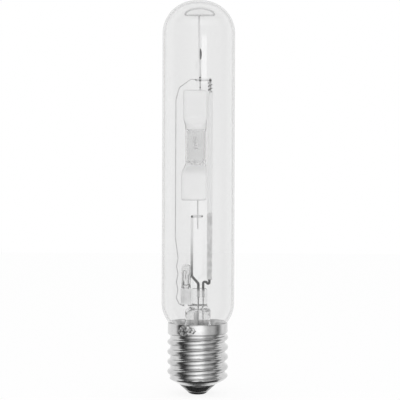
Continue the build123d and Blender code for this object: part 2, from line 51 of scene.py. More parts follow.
# Nearly all of a noise's values lie within these.
NOISE_SPAN = (0.3, 0.7)
WIDE_SPAN = (0.25, 0.75)
# Corners closer than these are one: in a new mesh, in millimetres, and in a node's copy, in metres.
JOIN_WITHIN = 0.0005
JOIN_COPIES_WITHIN = 0.002 * MM

Value = Union["Term", float, int]
Socket = bpy.types.NodeSocket
Pair = Tuple[float, float]
Band = Tuple[float, float, float]
Point = Tuple[float, float, float]
Outline = List[Pair]
Mesh = bmesh.types.BMesh


class Term:
    """A number that varies over a surface, kept as a shader socket for plain arithmetic."""

    def __init__(self, recipe: "Recipe", socket: Socket) -> None:
        """Keep the socket and the recipe that its node belongs to."""
        self.recipe = recipe
        self.socket = socket

    def _join(self, operation: str, *values: Value) -> "Term":
        """Add one Math node on these values and wrap its result."""
        return self.recipe.term("ShaderNodeMath", 0, {"operation": operation}, dict(enumerate(values)))

    def __add__(self, other: Value) -> "Term":
        """Return self + other."""
        return self._join("ADD", self, other)

    def __sub__(self, other: Value) -> "Term":
        """Return self - other."""
        return self._join("SUBTRACT", self, other)

    def __rsub__(self, other: Value) -> "Term":
        """Return other - self."""
        return self._join("SUBTRACT", other, self)

    def __mul__(self, other: Value) -> "Term":
        """Return self * other."""
        return self._join("MULTIPLY", self, other)

    __radd__ = __add__
    __rmul__ = __mul__

    def angle_from(self, other: Value) -> "Term":
        """Return the angle in degrees whose tangent is self over other."""
        return self._join("ARCTAN2", self, other) * math.degrees(1.0)

    def root(self) -> "Term":
        """Return the square root of self."""
        return self._join("SQRT", self)

    def larger(self, other: Value) -> "Term":
        """Return the larger of self and other."""
        return self._join("MAXIMUM", self, other)

    def step(self, low: float, high: float, start: float = 0.0, end: float = 1.0) -> "Term":
        """Return a smooth change from start to end while self goes from low to high."""
        inputs = {"Value": self, "From Min": low, "From Max": high, "To Min": start, "To Max": end}
        return self.recipe.term("ShaderNodeMapRange", 0, {"interpolation_type": "SMOOTHSTEP"}, inputs)

    def band(self, low: float, high: float, soft: float) -> "Term":
        """Return 1 between low and high, falling to 0 over the soft width on each side."""
        return self.step(low - soft, low) * self.step(high, high + soft, 1.0, 0.0)


class Recipe:
    """The node tree of one material or of the world, with short ways to fill it."""

    def __init__(self, tree: bpy.types.NodeTree) -> None:
        """Start from an empty tree."""
        self.tree = tree
        tree.nodes.clear()

    def node(self, kind: str, settings: Optional[Dict] = None,
             inputs: Optional[Dict] = None) -> bpy.types.Node:
        """Add a node.

        Args:
            kind: the node's type.
            settings: its own properties, which are set first.
            inputs: values, Terms or sockets for its inputs, by name or number.

        Returns:
            The new node.
        """
        made = self.tree.nodes.new(kind)
        for name, value in (settings or {}).items():
            setattr(made, name, value)
        for name, value in (inputs or {}).items():
            target = made.inputs[name]
            if isinstance(value, Term):
                self.tree.links.new(value.socket, target)
            elif isinstance(value, Socket):
                self.tree.links.new(value, target)
            else:
                target.default_value = value
        return made

    def socket(self, kind: str, inputs: Optional[Dict] = None) -> Socket:
        """Add a node without settings and return its first output."""
        return self.node(kind, {}, inputs).outputs[0]

    def term(self, kind: str, output: Union[str, int], settings: Optional[Dict] = None,
             inputs: Optional[Dict] = None) -> Term:
        """Add a node and wrap one of its outputs."""
        return Term(self, self.node(kind, settings, inputs).outputs[output])

    def place(self) -> Socket:
        """Return the object's own coordinates."""
        return self.node("ShaderNodeTexCoord").outputs["Object"]

    def axes(self) -> Tuple[Term, Term, Term]:
        """Return the object's x, y and z as Terms, in metres."""
        split = self.node("ShaderNodeSeparateXYZ", {}, {0: self.place()})
        return Term(self, split.outputs[0]), Term(self, split.outputs[1]), Term(self, split.outputs[2])

    def noise(self, scale: float, detail: float = 3.0, stretch: Point = (1.0, 1.0, 1.0)) -> Term:
        """Return a soft noise between about 0.2 and 0.8, with its coordinates scaled along each axis."""
        place = self.socket("ShaderNodeMapping", {"Vector": self.place(), "Scale": stretch})
        return self.term("ShaderNodeTexNoise", 0, {}, {"Vector": place, "Scale": scale, "Detail": detail})

    def edge_on(self) -> Term:
        """Return how far the surface turns from the eye: 0 seen square on, 1 seen edge on."""
        return self.term("ShaderNodeLayerWeight", "Facing", {}, {"Blend": 0.5})

    def grey(self, level: Term) -> Socket:
        """Return a neutral colour whose lightness is the Term."""
        return self.socket("ShaderNodeCombineColor", {0: level, 1: level, 2: level})

    def bump(self, height: Term, distance: float) -> Socket:
        """Return the normal of a surface raised by the Term times the distance in metres."""
        return self.socket("ShaderNodeBump", {"Height": height, "Distance": distance})

    def surface(self, inputs: Dict) -> Socket:
        """Return a Principled shader with these inputs."""
        return self.socket("ShaderNodeBsdfPrincipled", inputs)

    def glow(self, colour: Union[Socket, Tuple], strength: float) -> Socket:
        """Return a shader that gives off this colour."""
        return self.socket("ShaderNodeEmission", {"Color": colour, "Strength": strength})

    def mixed(self, share: Value, first: Socket, second: Socket) -> Socket:
        """Return the shader that holds this share of the second one."""
        return self.socket("ShaderNodeMixShader", {0: share, 1: first, 2: second})

    def scattered(self, lightness: float) -> Socket:
        """Return a shader that scatters the light from behind, in this grey."""
        return self.socket("ShaderNodeBsdfTranslucent", {"Color": (lightness, lightness, lightness, 1.0)})

    def finish(self, shader: Socket, kind: str = "ShaderNodeOutputMaterial") -> None:
        """Join the last shader to the tree's output."""
        self.node(kind, {}, {"Surface": shader})


def new_material(name: str) -> Tuple[bpy.types.Material, Recipe]:
    """Make an empty node material.

    Args:
        name: the material's name.

    Returns:
        The material and its recipe.
    """
    material = bpy.data.materials.new(name)
    material.use_nodes = True
    return material, Recipe(material.node_tree)


@dataclass(frozen=True)
class Surface:
    """What all finishes share: a name, the slot that they fill and how light meets them."""

    name: str
    slot: str
    casts_shadow: ClassVar[bool] = True
    stops_bounces: ClassVar[bool] = True

    def shader(self, recipe: Recipe) -> Socket:
        """Return the finish's shader, built in this recipe."""
        raise NotImplementedError

    def make(self) -> bpy.types.Material:
        """Make the finish's material.

        Returns:
            The material.
        """
        material, recipe = new_material(self.name)
        recipe.finish(self.shader(recipe))
        return material


@dataclass(frozen=True)
class DrawnMetal(Surface):
    """Drawn wire or rolled strip: a grey metal with fine marks along its length."""

    lightness: float
    darkest: float
    roughness: float = 0.3
    grain: float = 2500.0
    patch: float = 140.0
    metallic: float = 1.0
    mark_share: float = 0.35
    mark_stretch: Point = (1.0, 1.0, 0.12)
    relief: float = 0.03 * MM
    dull_range: Pair = (0.7, 1.4)
    clean_above: float = 0.0
    burnt_below: float = -1.0
    burnt: float = 0.06
    bare_foot: float = 0.8
    foot_fade: float = 2.5 * MM

    def shader(self, recipe: Recipe) -> Socket:
        """Return the metal's shader.

        Args:
            recipe: what it is built in.

        Returns:
            Its shader, burnt dark at one height, clean above it and bare again at the foot.
        """
        marks = recipe.noise(self.grain, detail=4.0, stretch=self.mark_stretch)
        patches = recipe.noise(self.patch, detail=2.0)
        sharpest, dullest = (self.roughness * share for share in self.dull_range)
        height = recipe.axes()[2]
        foot = height.step(self.burnt_below - self.foot_fade, self.burnt_below, self.bare_foot, 0.0)
        clean = height.step(self.burnt_below, self.clean_above, self.burnt, 1.0).larger(foot)
        worn = marks * self.mark_share + patches * (1.0 - self.mark_share)
        return recipe.surface({
            "Base Color": recipe.grey(worn.step(*NOISE_SPAN, self.darkest, self.lightness) * clean),
            "Roughness": patches.step(*NOISE_SPAN, sharpest, dullest),
            "Metallic": self.metallic,
            "Normal": recipe.bump(marks, self.relief),
        })


@dataclass(frozen=True)
class ClearGlass(Surface):
    """Blown or pressed clear glass with faint drawing lines, and painted shade along its outline."""

    clarity: float
    ior: float = 1.5
    line_height: float = 0.01 * MM
    line_grain: float = 60.0
    line_stretch: Point = (1.0, 1.0, 0.08)
    # The band and the rim darken the glass's colour where its wall is seen edge on: painted shade along its
    # outline.
    band: float = 0.03
    painted_band_span: Pair = (0.2, 0.5)
    rim: float = 0.5
    painted_rim_span: Pair = (0.62, 0.85)
    casts_shadow: ClassVar[bool] = False
    stops_bounces: ClassVar[bool] = False

    def shader(self, recipe: Recipe) -> Socket:
        """Return the glass's shader.

        Args:
            recipe: what it is built in.

        Returns:
            Its shader, with painted shade where the wall is seen edge on.
        """
        lines = recipe.noise(self.line_grain, stretch=self.line_stretch)
        edge_on = recipe.edge_on()
        # Painted shade: the colour darkens where the wall is seen edge on.
        clear = self.clarity - edge_on.step(*self.painted_band_span) * self.band
        return recipe.surface({
            "Base Color": recipe.grey(clear - edge_on.step(*self.painted_rim_span) * self.rim),
            "Roughness": 0.0,
            "IOR": self.ior,
            "Transmission Weight": 1.0,
            "Normal": recipe.bump(lines, self.line_height),
        })


@dataclass(frozen=True)
class CoatedSilica(Surface):
    """Clear silica with a white heat coat on both ends, cut off unevenly."""

    coat_low: float
    coat_high: float
    edge: float = 0.9 * MM
    raggedness: float = 1.4 * MM
    ragged_grain: float = 420.0
    lightness: float = 0.97
    patchiness: float = 0.06
    patch_grain: float = 130.0
    powder_grain: float = 1500.0
    powder_share: float = 0.3
    relief: float = 0.02 * MM
    roughness: float = 0.42
    passes: float = 0.35
    # These darken the coat where it is seen edge on: painted shade along its outline.
    painted_rim_span: Pair = (0.5, 0.9)
    painted_rim_level: float = 0.25
    clarity: float = 0.87
    ior: float = 1.46
    casts_shadow: ClassVar[bool] = False
    stops_bounces: ClassVar[bool] = False

    def shader(self, recipe: Recipe) -> Socket:
        """Return the silica's shader.

        Args:
            recipe: what it is built in.

        Returns:
            Its shader: clear between the coats' edges and white beyond them, with painted shade where the
                coat is seen edge on.
        """
        ragged = recipe.axes()[2] + recipe.noise(self.ragged_grain) * self.raggedness
        low = ragged.step(self.coat_low, self.coat_low + self.edge, 1.0, 0.0)
        high = ragged.step(self.coat_high, self.coat_high + self.edge, 0.0, 1.0)
        powder = recipe.noise(self.powder_grain, detail=5.0)
        patches = recipe.noise(self.patch_grain, detail=2.0)
        tone = powder * self.powder_share + patches * (1.0 - self.powder_share)
        level = tone.step(*WIDE_SPAN, self.lightness - self.patchiness, self.lightness)
        edge_on = recipe.edge_on()
        # The coat's colour darkens where it is seen edge on: painted shade.
        face = recipe.surface({
            "Base Color": recipe.grey(level * edge_on.step(*self.painted_rim_span, 1.0, self.painted_rim_level)),
            "Roughness": self.roughness,
            "Normal": recipe.bump(powder, self.relief),
        })
        lit = self.lightness - self.patchiness / 2
        # The light scattered through the coat dims edge on too: painted shade.
        rim = edge_on.step(*self.painted_rim_span)
        through = recipe.mixed(rim, recipe.scattered(lit), recipe.scattered(lit * self.painted_rim_level))
        coat = recipe.mixed(self.passes, face, through)
        glass = ClearGlass(self.name, self.slot, self.clarity, self.ior).shader(recipe)
        return recipe.mixed(low.larger(high), glass, coat)


@dataclass(frozen=True)
class Frosted(Surface):
    """Clouded silica, which scatters the light that passes through its wall."""

    lightness: float
    passes: float
    roughness: float = 0.15
    cloudiness: float = 0.05
    cloud_grain: float = 500.0
    cloud_stretch: Point = (1.0, 1.0, 0.2)
    relief: float = 0.02 * MM
    casts_shadow: bool = field(default=True, kw_only=True)
    stops_bounces: ClassVar[bool] = False

    def shader(self, recipe: Recipe) -> Socket:
        """Return the silica's shader.

        Args:
            recipe: what it is built in.

        Returns:
            Its shader, with soft clouds along its length.
        """
        cloud = recipe.noise(self.cloud_grain, detail=4.0, stretch=self.cloud_stretch)
        level = cloud.step(*WIDE_SPAN, self.lightness - self.cloudiness, self.lightness)
        face = recipe.surface({
            "Base Color": recipe.grey(level),
            "Roughness": self.roughness,
            "Normal": recipe.bump(cloud, self.relief),
        })
        return recipe.mixed(self.passes, face, recipe.scattered(self.lightness - self.cloudiness / 2))


@dataclass(frozen=True)
class NickelPlate(Surface):
    """The cap's bright plating, with fine turning marks, small dents and dull patches."""

    lightness: float = 0.68
    tarnish: float = 0.12
    roughness: float = 0.16
    dull_range: Pair = (0.6, 1.5)
    patch_grain: float = 70.0
    speck_grain: float = 900.0
    speck_share: float = 0.3
    ring_grain: float = 300.0
    ring_stretch: Point = (0.05, 0.05, 1.0)
    ring_depth: float = 0.3
    dent_grain: float = 160.0
    relief: float = 0.06 * MM

    def shader(self, recipe: Recipe) -> Socket:
        """Return the plating's shader.

        Args:
            recipe: what it is built in.

        Returns:
            Its shader, with rings that follow the turning and dents that don't.
        """
        patches = recipe.noise(self.patch_grain, detail=4.0)
        specks = recipe.noise(self.speck_grain, detail=2.0)
        rings = recipe.noise(self.ring_grain, detail=2.0, stretch=self.ring_stretch)
        dents = recipe.noise(self.dent_grain, detail=2.0)
        spotted = patches * (1.0 - self.speck_share) + specks * self.speck_share
        level = spotted.step(*NOISE_SPAN, self.lightness - self.tarnish, self.lightness)
        dull = patches * 0.5 + rings * 0.5
        sharpest, dullest = (self.roughness * share for share in self.dull_range)
        return recipe.surface({
            "Base Color": recipe.grey(level),
            "Roughness": dull.step(*NOISE_SPAN, sharpest, dullest),
            "Metallic": 1.0,
            "Normal": recipe.bump(rings * self.ring_depth + dents, self.relief),
        })


@dataclass(frozen=True)
class Plain(Surface):
    """A solid that is no metal, such as cement, woven glass or black glass."""

    lightness: float
    darkest: float
    roughness: float
    grain: float
    relief: float
    coat: float = 0.0
    patch_fineness: float = 0.15
    dull_range: Pair = (0.85, 1.15)

    def shader(self, recipe: Recipe) -> Socket:
        """Return the solid's shader.

        Args:
            recipe: what it is built in.

        Returns:
            Its shader, with its grain and larger patches of the same kind.
        """
        grain = recipe.noise(self.grain, detail=5.0)
        patches = recipe.noise(self.grain * self.patch_fineness, detail=2.0)
        level = grain * 0.5 + patches * 0.5
        sharpest, dullest = (min(1.0, self.roughness * share) for share in self.dull_range)
        return recipe.surface({
            "Base Color": recipe.grey(level.step(*NOISE_SPAN, self.darkest, self.lightness)),
            "Roughness": grain.step(*NOISE_SPAN, sharpest, dullest),
            "Coat Weight": self.coat,
            "Normal": recipe.bump(grain, self.relief),
        })


class Finish(Enum):
    """Every finish on the lamp."""

    BULB = ClearGlass("bulb_glass", "clear_glass", clarity=0.91)
    STEM = ClearGlass("stem_glass", "stem_glass", clarity=0.92, ior=1.52, line_height=0.03 * MM)
    SILICA = Frosted("sleeve_silica", "fused_silica", lightness=0.97, passes=0.5)
    EXHAUST = Frosted("exhaust_glass", "stem_glass", lightness=0.85, passes=0.5, casts_shadow=False)
    COATED = CoatedSilica("coated_silica", "fused_silica", coat_low=147.9 * MM, coat_high=170.6 * MM)
    NICKEL = NickelPlate("nickel_plate", "nickel_plate")
    # The contact plate's near-black grey is painted shade; the plate itself is bright metal.
    SHADED_CONTACT = DrawnMetal("contact_metal", "contact_metal", lightness=0.14, darkest=0.06, roughness=0.35)
    SOLDER = DrawnMetal("solder", "solder", lightness=0.75, darkest=0.02,
                        grain=900.0, patch=650.0, metallic=0.7)
    CEMENT = Plain("cement", "cement", lightness=0.85, darkest=0.15,
                   roughness=0.9, grain=260.0, relief=0.1 * MM)
    BLACK_GLASS = Plain("black_glass", "black_glass", lightness=0.03, darkest=0.015,
                        roughness=0.12, grain=200.0, relief=0.01 * MM, coat=0.6)
    STEEL = DrawnMetal("support_wire", "support_steel", lightness=0.85, darkest=0.7,
                       roughness=0.5, metallic=0.3, clean_above=105.0 * MM, burnt_below=68.0 * MM)
    SHEET = DrawnMetal("ferrule_sheet", "getter_metal", lightness=0.92, darkest=0.6,
                       roughness=0.45, grain=900.0, metallic=0.3)
    DARK_STEEL = DrawnMetal("darkened_wire", "support_steel", lightness=0.55, darkest=0.35, roughness=0.5)
    MOLYBDENUM = DrawnMetal("molybdenum", "molybdenum", lightness=0.7, darkest=0.5,
                            roughness=0.5, metallic=0.3)
    TUNGSTEN = DrawnMetal("tungsten", "tungsten", lightness=0.85, darkest=0.75, roughness=0.5, metallic=0.2)
    BRAID = Plain("glass_braid", "glass_braid", lightness=0.88, darkest=0.55,
                  roughness=0.8, grain=2200.0, relief=0.03 * MM)
    GETTER = DrawnMetal("getter_strip", "getter_metal", lightness=0.25, darkest=0.08, roughness=0.4)
    WELD = DrawnMetal("weld_bead", "support_steel", lightness=0.3, darkest=0.04, roughness=0.4, grain=900.0)


def node_copy(node: str) -> Mesh:
    """Copy a node's mesh and merge its corners.

    Args:
        node: the node's name.

    Returns:
        The copy, in metres.
    """
    mesh = bmesh.new()
    mesh.from_mesh(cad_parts[node].data)
    bmesh.ops.remove_doubles(mesh, verts=mesh.verts, dist=JOIN_COPIES_WITHIN)
    return mesh


def placed(mesh: Mesh, name: str) -> bpy.types.Object:
    """Put a finished mesh into the scene as an object at the origin.

    Args:
        mesh: the mesh. It is freed here.
        name: the object's name.

    Returns:
        The new object.
    """
    data = bpy.data.meshes.new(name)
    mesh.to_mesh(data)
    mesh.free()
    made = bpy.data.objects.new(name, data)
    bpy.context.scene.collection.objects.link(made)
    return made


class Shop:
    """Turns finished meshes into pieces that ride on the lamp and stand for its nodes."""

    def __init__(self) -> None:
        """Start with no materials made."""
        self.made: Dict[Finish, bpy.types.Material] = {}

    def material(self, finish: Finish) -> bpy.types.Material:
        """Find a finish's material, or make it on first use.

        Args:
            finish: the finish.

        Returns:
            Its material.
        """
        if finish not in self.made:
            self.made[finish] = finish.value.make()
        return self.made[finish]

    def piece(self, mesh: Mesh, name: str, finish: Finish, nodes: Sequence[str] = (),
              sharp_above: float = 40.0, unit: float = MM) -> bpy.types.Object:
        """Make one piece from a finished mesh.

        Args:
            mesh: the mesh, in the lamp's frame. It is freed here.
            name: the piece's name.
            finish: what it is finished in.
            nodes: the nodes that it stands for.
            sharp_above: edges that turn by more degrees than this stay sharp.
            unit: the mesh's unit, in metres.

        Returns:
            The new object.
        """
        bmesh.ops.scale(mesh, verts=mesh.verts, vec=(unit, unit, unit))
        made = placed(mesh, name)
        made.data.shade_smooth()
        made.data.set_sharp_from_angle(angle=math.radians(sharp_above))
        made.data.materials.append(self.material(finish))
        made.visible_shadow = finish.value.casts_shadow
        made.visible_diffuse = finish.value.stops_bounces
        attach(made, BODY)
        if nodes:
            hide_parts(*nodes)
        LOG.info("%s: %d faces", name, len(made.data.polygons))
        return made

    def smoothed(self, node: str, finish: Finish, sharp_above: float = 40.0) -> bpy.types.Object:
        """Stand a merged and smoothly shaded copy of a node in for it."""
        return self.piece(node_copy(node), node + "_smooth", finish, [node], sharp_above, unit=1.0)


def between(start: float, end: float, share: float) -> float:
    """Return the value this share of the way from start to end."""
    return start + (end - start) * share


def straight(start: Pair, end: Pair, count: int) -> Outline:
    """Return evenly spaced points from start to end, both included."""
    shares = [index / count for index in range(count + 1)]
    return [(between(start[0], end[0], share), between(start[1], end[1], share)) for share in shares]


def arc(centre: Pair, radius: float, start: float, end: float, count: int = 12) -> Outline:
    """Return points on an arc.

    Args:
        centre: the arc's middle.
        radius: its radius.
        start: its first angle, in degrees.
        end: its last angle.
        count: straight steps in it.

    Returns:
        The points, both ends included.
    """
    points = []
    for index in range(count + 1):
        angle = math.radians(between(start, end, index / count))
        points.append((centre[0] + radius * math.cos(angle), centre[1] + radius * math.sin(angle)))
    return points


def rounded(points: Outline, bends: Sequence[float], count: int = 8) -> Outline:
    """Return an outline whose inner corners are rounded.

    Args:
        points: the outline's corners.
        bends: the radius at each corner but the first and the last, 0 for none.
        count: straight steps in each bend.

    Returns:
        The rounded outline.
    """
    done = [points[0]]
    for before, corner, after, bend in zip(points, points[1:], points[2:], bends):
        if not bend:
            done.append(corner)
            continue
        middle = Vector(corner)
        back = (Vector(before) - middle).normalized()
        ahead = (Vector(after) - middle).normalized()
        half = back.angle(ahead) / 2
        centre = middle + (back + ahead).normalized() * (bend / math.sin(half))
        first = (middle + back * (bend / math.tan(half)) - centre).normalized()
        last = (middle + ahead * (bend / math.tan(half)) - centre).normalized()
        done.extend(tuple(centre + first.slerp(last, index / count) * bend) for index in range(count + 1))
    return done + [points[-1]]


def turned(outline: Outline, steps: int) -> Mesh:
    """Turn an outline once about the upright axis.

    Args:
        outline: (radius, height) points.
        steps: faces round the full turn.

    Returns:
        The merged mesh, its normals not yet put right.
    """
    mesh = bmesh.new()
    verts = [mesh.verts.new((radius, 0.0, height)) for radius, height in outline]
    edges = [mesh.edges.new(pair) for pair in zip(verts, verts[1:])]
    bmesh.ops.spin(mesh, geom=verts + edges, axis=(0, 0, 1), cent=(0, 0, 0), angle=math.tau,
                   steps=steps, use_merge=True)
    bmesh.ops.remove_doubles(mesh, verts=mesh.verts, dist=JOIN_WITHIN)
    return mesh


def spun(outline: Outline, steps: int, centre: Pair = (0.0, 0.0)) -> Mesh:
    """Spin an outline about an upright axis into a closed mesh.

    Args:
        outline: (radius, height) points that start and end on the axis, or come back to the first.
        steps: faces round the full turn.
        centre: the axis's x and y.

    Returns:
        The mesh, with its faces outwards.
    """
    mesh = turned(outline, steps)
    bmesh.ops.recalc_face_normals(mesh, faces=mesh.faces)
    bmesh.ops.translate(mesh, verts=mesh.verts, vec=(centre[0], centre[1], 0.0))
    return mesh


def add(target: Mesh, other: Mesh, inside_out: bool = False) -> None:
    """Add another mesh to a mesh, and free the other.

    Args:
        target: the mesh that grows.
        other: the mesh that is added.
        inside_out: whether the other is a hollow, so that it is turned inside out first.
    """
    if inside_out:
        bmesh.ops.reverse_faces(other, faces=other.faces)
    data = bpy.data.meshes.new("joined")
    other.to_mesh(data)
    other.free()
    target.from_mesh(data)
    bpy.data.meshes.remove(data)


def lumps(place: Vector, layers: Sequence[Pair]) -> float:
    """Return a smooth unevenness at a place, from (height, fineness) layers."""
    return sum(height * noise.noise(place * fineness) for height, fineness in layers)


@dataclass(frozen=True)
class Ring:
    """One level cross section of a drawn form: its height, half sizes, squareness and middle."""

    height: float
    half_x: float
    half_y: float
    squareness: float = ROUND
    x: float = 0.0
    y: float = 0.0

    def point(self, angle: float) -> Point:
        """Return the section's point at an angle.

        Args:
            angle: in radians, from the x axis.

        Returns:
            The point, in the lamp's frame.
        """
        power = 2.0 / self.squareness
        cosine, sine = math.cos(angle), math.sin(angle)
        across = math.copysign(abs(cosine) ** power, cosine) * self.half_x
        along = math.copysign(abs(sine) ** power, sine) * self.half_y
        return (self.x + across, self.y + along, self.height)

    def toward(self, other: "Ring", share: float) -> "Ring":
        """Return a ring on the way to another.

        Args:
            other: the ring that it goes to.
            share: how much of the height's way it has gone.

        Returns:
            The ring, whose shape and place are eased at both ends.
        """
        eased = share * share * (3 - 2 * share)
        height, *rest = astuple(self)
        height_after, *rest_after = astuple(other)
        return Ring(
            between(height, height_after, share),
            *(between(start, end, eased) for start, end in zip(rest, rest_after)),
        )


def drawn(rings: Sequence[Ring], sides: int = 64) -> Mesh:
    """Extrude a circle from ring to ring and close both ends.

    Args:
        rings: the sections, in order along the form.
        sides: vertices round each section.

    Returns:
        The closed mesh, with its faces outwards.
    """
    mesh = bmesh.new()
    bmesh.ops.create_circle(mesh, segments=sides, radius=1.0)
    angles = {vert: math.atan2(vert.co.y, vert.co.x) for vert in mesh.verts}
    for ring in rings:
        if ring is not rings[0]:
            loop = [edge for edge in mesh.edges if edge.verts[0] in angles and edge.verts[1] in angles]
            grown = bmesh.ops.extrude_edge_only(mesh, edges=loop)["geom"]
            verts = [item for item in grown if isinstance(item, bmesh.types.BMVert)]
            angles = {
                vert: angles[edge.other_vert(vert)]
                for vert in verts for edge in vert.link_edges if edge.other_vert(vert) in angles
            }
        for vert, angle in angles.items():
            vert.co = ring.point(angle)
    rims = [edge for edge in mesh.edges if edge.is_boundary]
    bmesh.ops.holes_fill(mesh, edges=rims, sides=0)
    bmesh.ops.recalc_face_normals(mesh, faces=mesh.faces)
    return mesh


def level_rings(outline: Outline, x: float = 0.0, y: float = 0.0) -> List[Ring]:
    """Return round rings for an outline of (radius, height) points."""
    return [Ring(height, radius, radius, ROUND, x, y) for radius, height in outline]


@dataclass
class Bulb:
    """The clear outer bulb."""

    top: float = 254.0
    radius: float = 23.5
    wall: float = 1.0
    crown: float = 28.0
    knuckle: float = 21.0
    slope: float = 38.0
    shoulder_bend: float = 20.0
    neck_bend: float = 8.0
    bend_room: float = 0.98
    neck_radius: float = 16.41
    neck_bottom: float = 26.0
    rim_radius: float = 18.8
    rim_height: float = 46.0
    crown_steps: int = 10
    knuckle_steps: int = 30
    bend_steps: int = 16
    sides: int = 160

    def outline(self, inset: float) -> Outline:
        """Return the bulb's section from the top of its dome down to its neck.

        Args:
            inset: how far inside the outer face the section lies.

        Returns:
            (radius, height) points.
        """
        radius = self.radius - inset
        neck_radius = self.neck_radius - inset
        offset = self.radius - self.knuckle
        tip = self.top - self.crown
        turn = math.degrees(math.asin(offset / (self.crown - self.knuckle)))
        bend_height = tip + (self.crown - self.knuckle) * math.cos(math.radians(turn))
        dome = arc((0.0, tip), self.crown - inset, 90.0, 90.0 - turn, self.crown_steps)
        knuckle = self.knuckle - inset
        dome += arc((offset, bend_height), knuckle, 90.0 - turn, 0.0, self.knuckle_steps)[1:]
        narrowing = self.radius - self.neck_radius
        tangent = math.tan(math.radians(self.slope))
        half_turn = math.tan(math.radians(self.slope / 2))
        shoulder = self.rim_height + (self.radius - self.rim_radius) / tangent + inset * half_turn
        neck = shoulder - narrowing / tangent
        run = narrowing / math.sin(math.radians(self.slope))
        neck_bend = self.neck_bend + inset
        room = self.bend_room * (run / half_turn - neck_bend)
        side = rounded(
            [dome[-1], (radius, shoulder), (neck_radius, neck), (neck_radius, self.neck_bottom)],
            [min(self.shoulder_bend - inset, room), neck_bend], self.bend_steps,
        )
        return dome + side[1:]

    def build(self, shop: Shop) -> None:
        """Make the bulb's two walls, joined at the foot of its neck.

        Args:
            shop: what makes the piece.
        """
        walls = self.outline(0.0) + self.outline(self.wall)[::-1]
        mesh = spun(walls, self.sides)
        shop.piece(mesh, "outer_bulb_glass", Finish.BULB, ["outer_bulb"], sharp_above=60.0)


